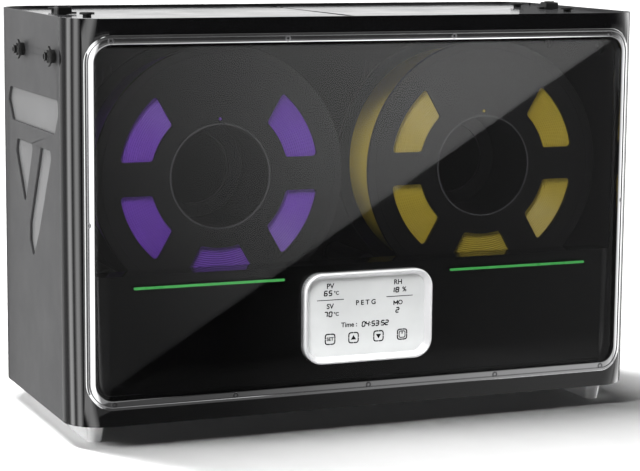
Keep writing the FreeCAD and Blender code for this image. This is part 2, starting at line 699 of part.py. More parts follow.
def spool(side):
    windows = [spool_window(angle) for angle in WINDOW_ANGLES]
    flange = cyl(SPOOL_R, V(0, 0, 0), Y_AXIS, FLANGE_T)
    outer_edges = [e for e in flange.Edges if e.Length > 600 and len(e.Vertexes) == 1]
    flange = flange.makeFillet(0.8, outer_edges).cut(group(windows))
    eyelet = cyl(1.5, V(0, -1, 43.4), Y_AXIS, FLANGE_T + 2)
    front = flange.cut(cyl(BORE_R, V(0, -1, 0), Y_AXIS, 10)).cut(eyelet)
    rear = flange.cut(cyl(REAR_BORE_R, V(0, -1, 0), Y_AXIS, 10))
    rear.translate(V(0, SPOOL_W - FLANGE_T, 0))
    hub = tube(HUB_R, BORE_R, V(0, 0, 0), Y_AXIS, SPOOL_W - 1)
    body = front.fuse([rear, hub]).cut(cyl(1.5, V(0, -1, 43.4), Y_AXIS, 12))
    body.translate(V(side * SPOOL_X, SPOOL_FRONT, SPOOL_Z))
    return body.removeSplitter()


def filament(side):
    start = V(side * SPOOL_X, SPOOL_FRONT + FLANGE_T, SPOOL_Z)
    return tube(FILAMENT_R, HUB_R, start, Y_AXIS, SPOOL_W - 2 * FLANGE_T)


def fan_housings():
    half = FAN_SIZE / 2
    frames = []
    for side in (-1, 1):
        x = side * SPOOL_X
        frame = box(x - half, x + half, FAN_Y - half, FAN_Y + half, FAN_LOW, FAN_LOW + FAN_H)
        frame = frame.cut(cyl(FAN_BORE_R, V(x, FAN_Y, FAN_LOW - 1), Z_AXIS, FAN_H + 2))
        motor = cyl(FAN_HUB_R, V(x, FAN_Y, FAN_LOW), Z_AXIS, 4)
        spider = [
            box(x - half + 1, x + half - 1, FAN_Y - 1.5, FAN_Y + 1.5, FAN_LOW, FAN_LOW + 2.5),
            box(x - 1.5, x + 1.5, FAN_Y - half + 1, FAN_Y + half - 1, FAN_LOW, FAN_LOW + 2.5),
        ]
        legs = [
            cyl(3, V(x + dx, FAN_Y + dy, BOTTOM + BASE_T), Z_AXIS, FAN_LOW - BOTTOM - BASE_T)
            for dx in (-36, 36)
            for dy in (-36, 36)
        ]
        shaft = cyl(1.5, V(x, FAN_Y, FAN_LOW + 3), Z_AXIS, 10)
        frames.append(frame.fuse([motor, shaft] + spider + legs).removeSplitter())
    return group(frames)


def fan_impeller(side):
    low = FAN_LOW + 5
    hub = cyl(FAN_HUB_R, V(0, 0, low), Z_AXIS, 12)
    blades = []
    for i in range(FAN_BLADES):
        blade = box(FAN_HUB_R - 2, BLADE_R, -0.8, 0.8, -8, 8)
        blade.rotate(V(0, 0, 0), X_AXIS, 50)
        blade.translate(V(0, 0, low + 6.5))
        blade.rotate(V(0, 0, 0), Z_AXIS, 360.0 * i / FAN_BLADES)
        blades.append(blade)
    wheel = hub.fuse(blades).common(cyl(BLADE_R, V(0, 0, low), Z_AXIS, 13))
    wheel = wheel.cut(cyl(1.5 + RUNNING_FIT, V(0, 0, low - 1), Z_AXIS, 9))
    wheel.translate(V(side * SPOOL_X, FAN_Y, 0))
    return wheel


def heaters():
    blocks = []
    top = HEATER_LOW + HEATER_H
    for side in (-1, 1):
        x = side * SPOOL_X
        frame = box(x - 42, x + 42, FAN_Y - 30, FAN_Y + 30, HEATER_LOW, top)
        frame = frame.cut(box(x - 39, x + 39, FAN_Y - 27, FAN_Y + 27, HEATER_LOW - 1, top + 1))
        fins = [
            box(fin - 0.8, fin + 0.8, FAN_Y - 28, FAN_Y + 28, HEATER_LOW + 2, top - 2)
            for fin in row_spots(x, HEATER_FINS, HEATER_FIN_PITCH)
        ]
        bars = [
            box(x - 40, x + 40, FAN_Y + y - 2, FAN_Y + y + 2, HEATER_LOW + 4, top - 4)
            for y in (-15, 0, 15)
        ]
        hangers = [
            box(x + dx - 3, x + dx + 3, FAN_Y - 34, FAN_Y - 29, HEATER_LOW + 2, FLOOR_TOP - FLOOR_T)
            for dx in (-35, 35)
        ]
        blocks.append(frame.fuse(fins + bars + hangers).removeSplitter())
    return group(blocks)


def control_board():
    low = BOTTOM + 12
    board = box(-55, 55, FRONT + 22, FRONT + 82, low, low + 1.6)
    posts = [
        cyl(2.5, V(x, FRONT + y, BOTTOM + 3), Z_AXIS, low - BOTTOM - 3) for x in (-50, 50) for y in (27, 77)
    ]
    chips = [
        box(-12, 4, FRONT + 45, FRONT + 61, low + 1.6, low + 3.2),
        box(-40, -24, FRONT + 30, FRONT + 50, low + 1.6, low + 16),
        box(22, 46, FRONT + 30, FRONT + 46, low + 1.6, low + 10),
        box(20, 45, FRONT + 60, FRONT + 74, low + 1.6, low + 12),
    ]
    return board.fuse(posts + chips)


def power_supply():
    low = BOTTOM + 3
    cage = box(-50, 50, 0, 75, low, low + 34)
    for x in row_spots(0, REAR_VENT_SLOTS, SLOT_PITCH):
        cage = cage.cut(box(x - SLOT_W / 2, x + SLOT_W / 2, 10, 65, low + 32, low + 35))
    return cage.cut(box(-47, 47, 3, 72, low + 3, low + 31))


def humidity_sensor():
    y1 = LINER_REAR
    board = box(-8, 8, y1 - 1.6, y1, BOTTOM + 190, BOTTOM + 214)
    chip = box(-6, 6, y1 - 6.6, y1 - 1.6, BOTTOM + 196, BOTTOM + 211)
    return board.fuse(chip)


def mains_inlet():
    flange = front_prism(INLET_W, INLET_H, 4, INLET_Z, REAR, REAR + INLET_PROUD, INLET_X)
    body = front_prism(INLET_CUT_W, INLET_CUT_H, 2.5, INLET_Z, REAR - 22, REAR + 0.5, INLET_X)
    well = front_prism(24, 16.5, 2, INLET_Z, REAR - 16, REAR + 3, INLET_X)
    for dx in (-20, 20):
        flange = flange.cut(cyl(1.5, V(INLET_X + dx, REAR - 1, INLET_Z), Y_AXIS, 4))
    pins = [
        box(INLET_X + dx - 1, INLET_X + dx + 1, REAR - 17, REAR - 3, INLET_Z + dz - 2, INLET_Z + dz + 2)
        for dx, dz in ((-7, -2), (7, -2), (0, 2))
    ]
    tabs = [
        box(INLET_X + dx - 0.4, INLET_X + dx + 0.4, REAR - 30, REAR - 21, INLET_Z - 3, INLET_Z + 3)
        for dx in (-7, 0, 7)
    ]
    return flange.fuse(body).cut(well).fuse(pins + tabs).removeSplitter()


def all_nodes():
    nodes = {
        "front_fascia": front_fascia(),
        "window_rim": window_rim(),
        "window_panel": window_panel(),
        "rim_screws": rim_screws(),
        "control_bezel": control_bezel(),
        "control_glass": control_glass(),
        "display_module": display_module(),
        "light_bars": light_bars(),
        "side_panel_right": side_panel_right(),
        "side_panel_left": mirrored(side_panel_right()),
        "recess_plate_right": recess_plate_right(),
        "recess_plate_left": mirrored(recess_plate_right()),
        "rear_cover": rear_cover(),
        "base_plate": base_plate(),
        "skid_rails": skid_rails(),
        "case_screws": case_screws(),
        "top_frame": top_frame(),
        "centre_beam": centre_beam(),
        "hinge_pins": hinge_pins(),
        "lid_gasket": lid_gasket(),
        "lid_right": lid_right(),
        "lid_left": mirrored(lid_right()),
        "latch_right": latch_right(),
        "latch_left": mirrored(latch_right()),
        "tube_fittings": tube_fittings(),
        "front_dash": front_dash(),
        "chamber_floor": chamber_floor(),
        "liner_right": liner_right(),
        "liner_left": mirrored(liner_right()),
        "liner_rear": liner_rear(),
        "roller_axles": roller_axles(),
        "roller_bearings": roller_bearings(),
        "fan_housings": fan_housings(),
        "ptc_heaters": heaters(),
        "control_board": control_board(),
        "power_supply": power_supply(),
        "humidity_sensor": humidity_sensor(),
        "mains_inlet": mains_inlet(),
    }
    for side, side_name in ((-1, "left"), (1, "right")):
        nodes["spool_" + side_name] = spool(side)
        nodes["filament_" + side_name] = filament(side)
        nodes["fan_impeller_" + side_name] = fan_impeller(side)
        for offset, place in ((-ROLLER_DX, "a"), (ROLLER_DX, "b")):
            for row in ROLLER_ROWS:
                name = "roller_" + row + "_" + side_name + "_" + place
                nodes[name] = roller(side * SPOOL_X + offset, row)
        for i, row in enumerate(("front", "rear")):
            nodes["outlet_plug_" + row + "_" + side_name] = outlet_plug(side * PLUG_X, PLUG_Y[i])
            nodes["fitting_collet_" + row + "_" + side_name] = fitting_collet(side, FITTING_Y[i])
    return nodes


os.makedirs("parts", exist_ok=True)
for node, shape in all_nodes().items():
    shape.exportStep("parts/" + node + ".step")
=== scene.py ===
"""Filament dryer box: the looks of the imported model, in metres, in the model's own frame."""

import json
import math

import bmesh
import bpy
from mathutils import Matrix, Vector

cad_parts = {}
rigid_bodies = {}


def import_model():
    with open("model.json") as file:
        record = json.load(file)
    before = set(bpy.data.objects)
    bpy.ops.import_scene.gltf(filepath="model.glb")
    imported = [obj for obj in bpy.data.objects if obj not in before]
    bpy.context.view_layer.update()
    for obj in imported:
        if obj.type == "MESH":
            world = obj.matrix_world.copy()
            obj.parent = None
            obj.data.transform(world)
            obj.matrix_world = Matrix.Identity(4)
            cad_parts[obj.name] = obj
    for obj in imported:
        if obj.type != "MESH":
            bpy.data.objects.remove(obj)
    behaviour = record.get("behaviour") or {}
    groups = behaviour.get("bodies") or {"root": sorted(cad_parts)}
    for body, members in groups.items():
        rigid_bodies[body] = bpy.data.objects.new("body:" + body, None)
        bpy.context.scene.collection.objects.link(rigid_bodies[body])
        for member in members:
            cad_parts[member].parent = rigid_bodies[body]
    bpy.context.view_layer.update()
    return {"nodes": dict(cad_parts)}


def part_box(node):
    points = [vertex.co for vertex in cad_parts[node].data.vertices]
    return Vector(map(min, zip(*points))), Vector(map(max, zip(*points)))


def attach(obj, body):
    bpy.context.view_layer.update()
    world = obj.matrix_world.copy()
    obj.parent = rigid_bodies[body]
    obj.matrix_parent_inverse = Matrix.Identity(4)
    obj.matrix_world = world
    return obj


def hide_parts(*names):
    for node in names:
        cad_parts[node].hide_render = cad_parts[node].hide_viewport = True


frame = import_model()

NODES = frame["nodes"]
MM = 0.001
SIDES = {"left": -1, "right": 1}

# Sizes read from the frame
FASCIA_LOW, FASCIA_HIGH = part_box("front_fascia")
CASE_HALF_W = FASCIA_HIGH.x
CASE_FRONT = FASCIA_LOW.y
CASE_LOW = FASCIA_LOW.z
CORNER_R = 29 * MM
RIM_BOX_LOW, RIM_BOX_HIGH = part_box("window_rim")
GLASS_LOW, GLASS_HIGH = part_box("control_glass")
GLASS_MID_Z = (GLASS_LOW.z + GLASS_HIGH.z) / 2


# ---------------------------------------------------------------- shader helpers

def calc(tree, operation, *values):
    """One sum on plain numbers or sockets."""
    node = tree.nodes.new("ShaderNodeMath")
    node.operation = operation
    for socket, value in zip(node.inputs, values):
        if isinstance(value, (int, float)):
            socket.default_value = value
        else:
            tree.links.new(value, socket)
    return node.outputs["Value"]


def ramp(tree, value, low, high, out_low, out_high, kind="LINEAR"):
    """value between low and high, turned into a number between out_low and out_high."""
    node = tree.nodes.new("ShaderNodeMapRange")
    node.interpolation_type = kind
    node.inputs["From Min"].default_value = low
    node.inputs["From Max"].default_value = high
    node.inputs["To Min"].default_value = out_low
    node.inputs["To Max"].default_value = out_high
    tree.links.new(value, node.inputs["Value"])
    return node.outputs["Result"]


def split(tree, vector):
    node = tree.nodes.new("ShaderNodeSeparateXYZ")
    tree.links.new(vector, node.inputs["Vector"])
    return node.outputs["X"], node.outputs["Y"], node.outputs["Z"]


# ---------------------------------------------------------------- materials

CLOUD_SPAN = (0.3, 0.7)
COLOUR_SPAN = (0.35, 0.65)
GRAIN_DEPTH = 0.2 * MM


def noise(tree, scale, detail=3.0, stretch=None):
    """A noise texture on the object's own coordinates; stretch scales each axis."""
    coords = tree.nodes.new("ShaderNodeTexCoord")
    texture = tree.nodes.new("ShaderNodeTexNoise")
    texture.inputs["Scale"].default_value = scale
    texture.inputs["Detail"].default_value = detail
    if stretch:
        mapping = tree.nodes.new("ShaderNodeMapping")
        mapping.inputs["Scale"].default_value = stretch
        tree.links.new(coords.outputs["Object"], mapping.inputs["Vector"])
        tree.links.new(mapping.outputs["Vector"], texture.inputs["Vector"])
    else:
        tree.links.new(coords.outputs["Object"], texture.inputs["Vector"])
    return texture.outputs["Fac"]


def blend_colours(tree, factor, dark, light):
    blend = tree.nodes.new("ShaderNodeValToRGB")
    for element, position, colour in zip(blend.color_ramp.elements, COLOUR_SPAN, (dark, light)):
        element.position = position
        element.color = (*colour, 1)
    tree.links.new(factor, blend.inputs["Fac"])
    return blend.outputs["Color"]


def finish_material(
    name, colour, rough, spread=0.06, metallic=0.0, specular=0.5, coat=0.0, coat_rough=0.05,
    tint=0.12, grain=900.0, bump=0.0, smudge=28.0, stretch=None, alpha=1.0, transmission=0.0,
    emission=None, glow=0.0,
):
    """A finish with fine grain in its relief, soft smudges in its gloss and a slight colour drift."""
    material = bpy.data.materials.new(name)
    material.use_nodes = True
    tree = material.node_tree
    shader = tree.nodes["Principled BSDF"]
    dark = tuple(c * (1 - tint) for c in colour)
    light = tuple(min(1.0, c * (1 + tint)) for c in colour)
    cloud = noise(tree, smudge, 4.0, stretch)
    tree.links.new(blend_colours(tree, cloud, dark, light), shader.inputs["Base Color"])
    gloss = ramp(tree, cloud, *CLOUD_SPAN, max(0.02, rough - spread), rough + spread)
    tree.links.new(gloss, shader.inputs["Roughness"])
    shader.inputs["Metallic"].default_value = metallic
    shader.inputs["Specular IOR Level"].default_value = specular
    shader.inputs["Coat Weight"].default_value = coat
    shader.inputs["Coat Roughness"].default_value = coat_rough
    shader.inputs["Alpha"].default_value = alpha
    shader.inputs["Transmission Weight"].default_value = transmission
    if emission:
        shader.inputs["Emission Color"].default_value = (*emission, 1)
        shader.inputs["Emission Strength"].default_value = glow
    if bump:
        relief = tree.nodes.new("ShaderNodeBump")
        relief.inputs["Strength"].default_value = bump
        relief.inputs["Distance"].default_value = GRAIN_DEPTH
        tree.links.new(noise(tree, grain, 2.0, stretch), relief.inputs["Height"])
        tree.links.new(relief.outputs["Normal"], shader.inputs["Normal"])
    return material


MATERIALS = {
    "fascia": finish_material("fascia_gloss_black", (0.0025, 0.0025, 0.003), 0.09, 0.02, coat=0.3),
    "panel": finish_material("side_panel_satin", (0.040, 0.040, 0.0415), 0.42, grain=2600, bump=0.25),
    "plate": finish_material("recess_plate_satin", (0.165, 0.165, 0.167), 0.38, grain=2600, bump=0.2),
    "cover": finish_material("cover_powder_coat", (0.02, 0.02, 0.021), 0.38, grain=2200, bump=0.3),
    "window": finish_material(
        "smoked_acrylic", (0.004, 0.004, 0.0045), 0.03, 0.01, alpha=0.33, smudge=9, tint=0.05),
    "rim": finish_material("rim_acrylic", (0.46, 0.46, 0.465), 0.11, 0.02, metallic=1.0, tint=0.03),
    "steel": finish_material("screw_steel", (0.17, 0.17, 0.175), 0.30, metallic=1.0, grain=1800, bump=0.15),
    "chrome": finish_material(
        "bezel_chrome", (0.76, 0.76, 0.77), 0.20, 0.03, metallic=0.5, coat=0.5, tint=0.04),
    "display": finish_material("display_silver", (0.55, 0.56, 0.56), 0.34, 0.04, metallic=0.2, tint=0.05),
    "bar": finish_material(
        "green_light_bar", (0.02, 0.15, 0.03), 0.3, emission=(0.05, 0.55, 0.10), glow=0.10, tint=0.05),
    "lid": finish_material("lid_gloss", (0.045, 0.045, 0.047), 0.12, 0.03),
    "frame": finish_material("frame_black", (0.015, 0.015, 0.015), 0.45, grain=1800, bump=0.25),
    "liner": finish_material("liner_dark_sheet", (0.018, 0.018, 0.019), 0.40, grain=2400, bump=0.2),
    "rubber": finish_material("seal_rubber", (0.02, 0.02, 0.02), 0.55, grain=1400, bump=0.35),
    "rail": finish_material(
        "clear_rail", (0.94, 0.94, 0.94), 0.08, 0.03, transmission=0.1, coat=0.5, tint=0.03),
    "fitting": finish_material("fitting_black", (0.010, 0.010, 0.010), 0.32, grain=1600, bump=0.15),
    # The lip's grey, much lighter than the spool's black, is a painted highlight along the bore's edge
    "spool": finish_material("spool_black", (0.007, 0.007, 0.0075), 0.45, specular=0.35, tint=0.05),
    "lip": finish_material("spool_lip_grey", (0.07, 0.07, 0.075), 0.3, 0.04),
    "purple": finish_material("filament_purple", (0.23, 0.07, 0.62), 0.34, 0.04, tint=0.04, smudge=60),
    "gold": finish_material("filament_gold", (0.62, 0.48, 0.055), 0.34, 0.04, tint=0.04, smudge=60),
    "roller": finish_material("roller_grey", (0.20, 0.20, 0.20), 0.4, grain=1400, bump=0.2),
    "board": finish_material("board_green", (0.012, 0.10, 0.035), 0.4, grain=700, bump=0.15),
    "heater": finish_material("heater_aluminium", (0.60, 0.60, 0.61), 0.33, metallic=1.0, stretch=(1, 9, 1)),
    "cage": finish_material("cage_steel", (0.55, 0.55, 0.56), 0.36, metallic=1.0, stretch=(1, 8, 1)),
    "ink": finish_material("display_ink", (0.004, 0.004, 0.005), 0.6, specular=0.1, grain=2400, bump=0.1),
}

NODE_FINISH = {
    "front_fascia": "fascia", "window_rim": "rim", "window_panel": "window", "rim_screws": "steel",
    "control_bezel": "chrome", "control_glass": "display", "display_module": "board",
    "light_bars": "bar", "rear_cover": "cover", "base_plate": "cover", "skid_rails": "rail",
    "case_screws": "steel", "top_frame": "lid", "centre_beam": "frame", "hinge_pins": "steel",
    "lid_gasket": "rubber", "tube_fittings": "fitting", "front_dash": "fascia",
    "chamber_floor": "liner", "liner_rear": "liner", "roller_axles": "steel",
    "roller_bearings": "steel", "fan_housings": "frame", "ptc_heaters": "heater",
    "control_board": "board", "power_supply": "cage", "humidity_sensor": "board",
    "mains_inlet": "frame", "filament_left": "purple", "filament_right": "gold",
}
PREFIX_FINISH = {
    "side_panel": "panel", "recess_plate": "plate", "liner": "liner", "lid": "lid",
    "latch": "fitting", "spool": "spool", "fan_impeller": "frame", "roller": "roller",
    "outlet_plug": "rubber", "fitting_collet": "fitting",
}


def finish_of(node):
    if node in NODE_FINISH:
        return MATERIALS[NODE_FINISH[node]]
    prefix = next(p for p in PREFIX_FINISH if node.startswith(p))
    return MATERIALS[PREFIX_FINISH[prefix]]


# ---------------------------------------------------------------- CAD nodes

BEVELS_MM = {
    "front_fascia": 0.5, "side_panel": 0.4, "rear_cover": 0.35, "base_plate": 0.3,
    "top_frame": 0.4, "centre_beam": 0.4, "lid": 0.35, "latch": 0.3, "outlet_plug": 0.3,
    "tube_fittings": 0.3, "fitting_collet": 0.15, "spool": 0.5, "skid_rails": 4.0, "mains_inlet": 0.3,
    "roller": 0.4, "front_dash": 0.4, "light_bars": 0.1, "chamber_floor": 0.2, "power_supply": 0.4,
    "fan_housings": 0.4, "control_glass": 0.3,
}
WIDE_BEVEL = 2 * MM
WELD_GAP = 0.01 * MM


def soften_edges(obj, width):
    """Joins the mesh's split corners and rounds its sharp edges."""
    weld = obj.modifiers.new("weld", "WELD")
    weld.merge_threshold = WELD_GAP
    bevel = obj.modifiers.new("soft_edges", "BEVEL")
    bevel.width = width
    bevel.segments = 2 if width < WIDE_BEVEL else 5
    bevel.limit_method = "ANGLE"
    bevel.angle_limit = math.radians(40)
    bevel.use_clamp_overlap = True
    bevel.harden_normals = False


def dress_cad_nodes():
    for name, obj in NODES.items():
        obj.data.materials.clear()
        obj.data.materials.append(finish_of(name))
        prefix = next((p for p in BEVELS_MM if name == p or name.startswith(p + "_")), None)
        if prefix:
            soften_edges(obj, BEVELS_MM[prefix] * MM)


# ---------------------------------------------------------------- mesh helpers

def new_piece(name, mesh, body, material, stands_for=()):
    obj = bpy.data.objects.new(name, mesh)
    bpy.context.scene.collection.objects.link(obj)
    mesh.materials.append(material)
    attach(obj, body)
    if stands_for:
        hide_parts(*stands_for)
    return obj


def mesh_from(name, verts, faces, smooth_angle=35):
    mesh = bpy.data.meshes.new(name)
    mesh.from_pydata([tuple(v) for v in verts], [], faces)
    mesh.validate()
    work = bmesh.new()
    work.from_mesh(mesh)
    bmesh.ops.recalc_face_normals(work, faces=work.faces)
    limit = math.radians(smooth_angle)
    for edge in work.edges:
        edge.smooth = len(edge.link_faces) == 2 and edge.calc_face_angle(0) < limit
    for face in work.faces:
        face.smooth = True
    work.to_mesh(mesh)
    work.free()
    return mesh


def grid_faces(rows, columns):
    """Quads of a grid of points kept row by row, closed both ways."""
    faces = []
    for i in range(rows):
        for j in range(columns):
            a = i * columns + j
            b = i * columns + (j + 1) % columns
            c = ((i + 1) % rows) * columns + (j + 1) % columns
            d = ((i + 1) % rows) * columns + j
            faces.append((a, b, c, d))
    return faces


def lathe(centre, profile, turns):
    """A closed section of (radius, y) turned about the Y axis through centre."""
    verts = []
    for i in range(turns):
        angle = 2 * math.pi * i / turns
        for radius, y in profile:
            verts.append((centre.x + radius * math.cos(angle), y, centre.z + radius * math.sin(angle)))
    return verts, grid_faces(turns, len(profile))


def swept_ring(name, rings, smooth_angle):
    """A closed frame from outlines that run alongside each other, all with as many points."""
    count = len(rings[0])
    verts = [ring[c] for c in range(count) for ring in rings]
    return mesh_from(name, verts, grid_faces(count, len(rings)), smooth_angle)


# ---------------------------------------------------------------- filament

STRAND = 1.75 * MM
WINDING_DEPTH = 38 * MM
BULGE = STRAND * 0.42
STRAND_STEPS = 4
WIND_TURNS = 144
FILAMENT = {"left": ("purple", "purple_pla"), "right": ("gold", "gold_pla")}


def winding_profile(inner, outer, front, rear):
    """(radius, y) of a winding's section, with every strand's round back showing."""
    points = []
    rings = int(round((outer - inner) / STRAND))
    lanes = int(round((rear - front) / STRAND))

    def row(count, place):
        for i in range(count):
            for k in range(STRAND_STEPS):
                t = (i + k / STRAND_STEPS) / count
                dip = BULGE * (1 - abs(math.sin(math.pi * k / STRAND_STEPS)))
                points.append(place(t, dip))

    depth = outer - BULGE - inner
    row(rings, lambda t, dip: (inner + depth * t, front + dip))
    row(lanes, lambda t, dip: (outer - dip, front + (rear - front) * t))
    row(rings, lambda t, dip: (outer - BULGE - depth * t, rear - dip))
    points.append((inner, rear - BULGE))
    return points


def filament_winding(side_name):
    node = "filament_" + side_name
    low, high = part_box(node)
    centre = (low + high) / 2
    outer = (high.x - low.x) / 2
    profile = winding_profile(outer - WINDING_DEPTH, outer, low.y, high.y)
    mesh = mesh_from("winding_" + side_name, *lathe(centre, profile, WIND_TURNS), 80)
    finish, slot = FILAMENT[side_name]
    new_piece("winding_" + side_name, mesh, "spool_" + side_name, MATERIALS[finish], [node])


# ---------------------------------------------------------------- spool rings

LIP_PROUD = 0.35 * MM
RING_BURIED = 0.4 * MM
RING_TURNS = 120
# The bore lip is a raised ring at the bore's edge; its lighter grey finish is a painted highlight there,
# while the flange bead keeps the spool's black
RINGS_MM = {"bore_lip": (39.0, 40.2, "lip"), "flange_bead": (92.2, 93.2, "spool")}
EYELET_R = 43.4 * MM
STRAND_END_TURNS = 16
STRAND_END_STEPS = 7


def spool_rings(side_name):
    low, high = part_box("spool_" + side_name)
    centre = (low + high) / 2
    for ring, (inner_mm, outer_mm, finish) in RINGS_MM.items():
        inner = inner_mm * MM
        outer = outer_mm * MM
        round_over = (outer - inner) * 0.3
        root = low.y + RING_BURIED
        shoulder = low.y - LIP_PROUD / 2
        crest = low.y - LIP_PROUD
        profile = [
            (inner, root), (inner, shoulder), (inner + round_over, crest),
            (outer - round_over, crest), (outer, shoulder), (outer, root),
        ]
        name = ring + "_" + side_name
        mesh = mesh_from(name, *lathe(centre, profile, RING_TURNS), 50)
        new_piece(name, mesh, "spool_" + side_name, MATERIALS[finish])


def strand_end(side_name):
    """The tucked-in end of the filament, showing in the small hole above the bore."""
    low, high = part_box("spool_" + side_name)
    centre = (low + high) / 2
    radius = STRAND * 0.62
    profile = [(radius, low.y + 4 * MM)]
    for i in range(STRAND_END_STEPS):
        angle = math.pi / 2 * i / STRAND_END_STEPS
        profile.append((radius * math.cos(angle), low.y + 0.6 * MM - radius * math.sin(angle)))
    verts, faces = lathe(Vector((centre.x, 0, centre.z + EYELET_R)), profile, STRAND_END_TURNS)
    columns = len(profile)
    faces = [f for f in faces if abs((f[0] % columns) - (f[1] % columns)) == 1]
    faces.append(tuple(i * columns + columns - 1 for i in range(STRAND_END_TURNS)))
    faces.append(tuple(i * columns for i in range(STRAND_END_TURNS)))
    finish, slot = FILAMENT[side_name]
    mesh = mesh_from("strand_end_" + side_name, verts, faces, 50)
    new_piece("strand_end_" + side_name, mesh, "spool_" + side_name, MATERIALS[finish])


# ---------------------------------------------------------------- window rim and bezel

# Each section is a list of (growth of the outline, depth behind the front face)
RIM_R = 20 * MM
RIM_SECTION_MM = [
    (0.0, 5.8), (0.0, -0.8), (-0.3, -1.05), (-1.9, -1.05), (-2.2, -0.8), (-2.3, 0.0), (-2.5, 0.0),
    (-2.8, -0.42), (-3.2, -0.5), (-6.0, -0.46), (-6.3, -0.45), (-6.7, -0.25), (-6.95, 0.4), (-6.95, 5.8),
]


def rounded_outline(low_corner, high_corner, corner_r, grow, per_corner=14):
    """(x, z) round a rounded rectangle of the box's size, centred on x = 0 and grown by grow."""
    half_w = high_corner.x + grow
    top = high_corner.z + grow
    low = low_corner.z - grow
    radius = corner_r + grow
    corners = [
        (half_w - radius, low + radius, -90), (half_w - radius, top - radius, 0),
        (-half_w + radius, top - radius, 90), (-half_w + radius, low + radius, 180),
    ]
    points = []
    for x, z, start in corners:
        for i in range(per_corner + 1):
            angle = math.radians(start + 90 * i / per_corner)
            points.append((x + radius * math.cos(angle), z + radius * math.sin(angle)))
    return points


def front_y(x, inset):
    """Depth of the case's front wall at x, moved in by inset."""
    bend = CASE_HALF_W - CORNER_R
    radius = CORNER_R - inset
    over = min(max(0.0, abs(x) - bend), radius)
    return CASE_FRONT + CORNER_R - math.sqrt(radius * radius - over * over)


def window_rim():
    """The rim, whose ends follow the round front corners."""
    rings = []
    for grow_mm, inset_mm in RIM_SECTION_MM:
        outline = rounded_outline(RIM_BOX_LOW, RIM_BOX_HIGH, RIM_R, grow_mm * MM)
        rings.append([(x, front_y(x, inset_mm * MM), z) for x, z in outline])
    mesh = swept_ring("rim_profile", rings, 28)
    new_piece("rim_profile", mesh, "case", MATERIALS["rim"], ["window_rim"])


BEZEL_LOW, BEZEL_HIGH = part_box("control_bezel")
BEZEL_R = 15 * MM
GLASS_IN = (GLASS_LOW.x - BEZEL_LOW.x) / MM
GLASS_SET_MM = (GLASS_LOW.y - CASE_FRONT) / MM
BEZEL_SECTION_MM = [
    (0.0, 7.9), (0.0, 0.3), (-0.12, -0.35), (-0.45, -0.85), (-0.95, -1.12), (-1.4, -1.18), (-1.75, -1.0),
    (-GLASS_IN + 0.4, GLASS_SET_MM - 0.3), (-GLASS_IN, GLASS_SET_MM), (-GLASS_IN, GLASS_SET_MM + 2.0),
    (-GLASS_IN - 2.5, GLASS_SET_MM + 2.0), (-GLASS_IN - 2.5, 7.9),
]


def bezel_ring():
    """The bezel with its rounded crest and sloping inner face."""
    rings = []
    for grow_mm, depth_mm in BEZEL_SECTION_MM:
        outline = rounded_outline(BEZEL_LOW, BEZEL_HIGH, BEZEL_R, grow_mm * MM)
        rings.append([(x, CASE_FRONT + depth_mm * MM, z) for x, z in outline])
    mesh = swept_ring("bezel_ring", rings, 40)
    new_piece("bezel_ring", mesh, "case", MATERIALS["chrome"], ["control_bezel"])


# ---------------------------------------------------------------- display

# Painted shade: the display's colour is scaled by the first number at its bottom and by the second at its top
DISPLAY_PAINTED_SHADE = (1.12, 0.78)


def paint_display_shade():
    """Paints shade into the display's colour, a little darker towards its top."""
    tree = MATERIALS["display"].node_tree
    colour = tree.nodes["Principled BSDF"].inputs["Base Color"]
    plain = colour.links[0].from_socket
    coords = tree.nodes.new("ShaderNodeTexCoord")
    shade = tree.nodes.new("ShaderNodeVectorMath")
    shade.operation = "SCALE"
    tree.links.new(plain, shade.inputs[0])
    height = split(tree, coords.outputs["Generated"])[2]
    tree.links.new(ramp(tree, height, 0.1, 1.0, *DISPLAY_PAINTED_SHADE), shade.inputs["Scale"])
    tree.links.new(shade.outputs["Vector"], colour)


INK_T = 0.12 * MM
LETTER_WEIGHT = 0.11 * MM
# Sizes on the glass, in millimetres
DIGIT_H = 3.6
DIGIT_W = 2.3
DIGIT_PITCH = 3.8
CLOCK_PITCH = 3.3
DIGIT_SLANT = 0.12
SEGMENT_GAP = 0.25
SEGMENT_W = 0.9
RULE_W = 0.55
RULE_LENGTH = 22.0
KEY_X = (-30.5, -11.0, 10.0, 30.0)
KEY_Z = -16.7
KEY_SIZE = 7.9
KEY_LINE = 0.95
# Parts of a turn, measured from the upper right corner
KEY_ARCS = ((0.14, 0.36), (0.39, 0.61), (0.64, 0.86), (0.89, 1.11))
SEGMENTS = {
    "0": "abcdef", "1": "bc", "2": "abged", "3": "abgcd", "4": "fgbc", "5": "afgcd",
    "6": "afgecd", "7": "abc", "8": "abcdefg", "9": "abcdfg",
}


